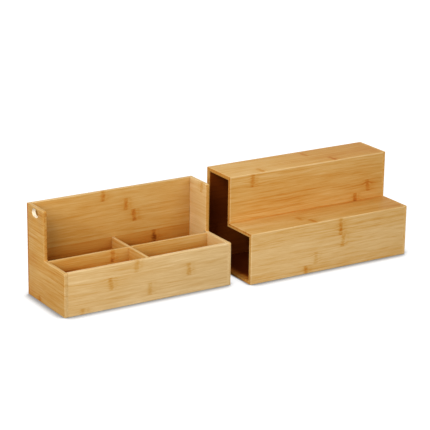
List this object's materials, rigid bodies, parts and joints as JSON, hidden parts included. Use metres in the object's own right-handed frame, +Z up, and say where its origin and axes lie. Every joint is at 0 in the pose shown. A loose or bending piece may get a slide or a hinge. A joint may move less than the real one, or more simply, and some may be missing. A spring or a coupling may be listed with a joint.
{
  "type": "stepped shelf organizer",
  "caption": "Stepped two-tier bamboo shelf open at one end, with a divided caddy that slides into it like a drawer and is pulled out by a finger slot.",
  "frame": {"origin": "middle of the shelf's underside, on the surface that it stands on", "axes": "+X along the shelf away from its open end, +Y from the front to the back, +Z up"},
  "size_m": [0.7039, 0.15, 0.1792],
  "materials": {
    "bamboo_board": "satin clear lacquer over flat-pressed bamboo, grain along the board",
    "bamboo_side": "satin clear lacquer over flat-pressed bamboo, grain from front to back",
    "bamboo_thin": "satin clear lacquer over thin bamboo board"
  },
  "bodies": {
    "shelf": {"shelf_base": "bamboo_thin", "shelf_back": "bamboo_board", "shelf_top": "bamboo_board", "shelf_riser": "bamboo_board", "shelf_tread": "bamboo_board", "shelf_front": "bamboo_board", "shelf_end": "bamboo_side"},
    "caddy": {"caddy_left_side": "bamboo_side", "caddy_right_side": "bamboo_side", "caddy_front": "bamboo_board", "caddy_back": "bamboo_board", "caddy_base": "bamboo_thin", "caddy_long_divider": "bamboo_thin", "caddy_cross_divider": "bamboo_thin"}
  },
  "joints": [
    {"name": "caddy_slide", "type": "slide", "parent": "shelf", "child": "caddy", "axis": [1, 0, 0], "range_m": [0, 0.3706]}
  ]
}
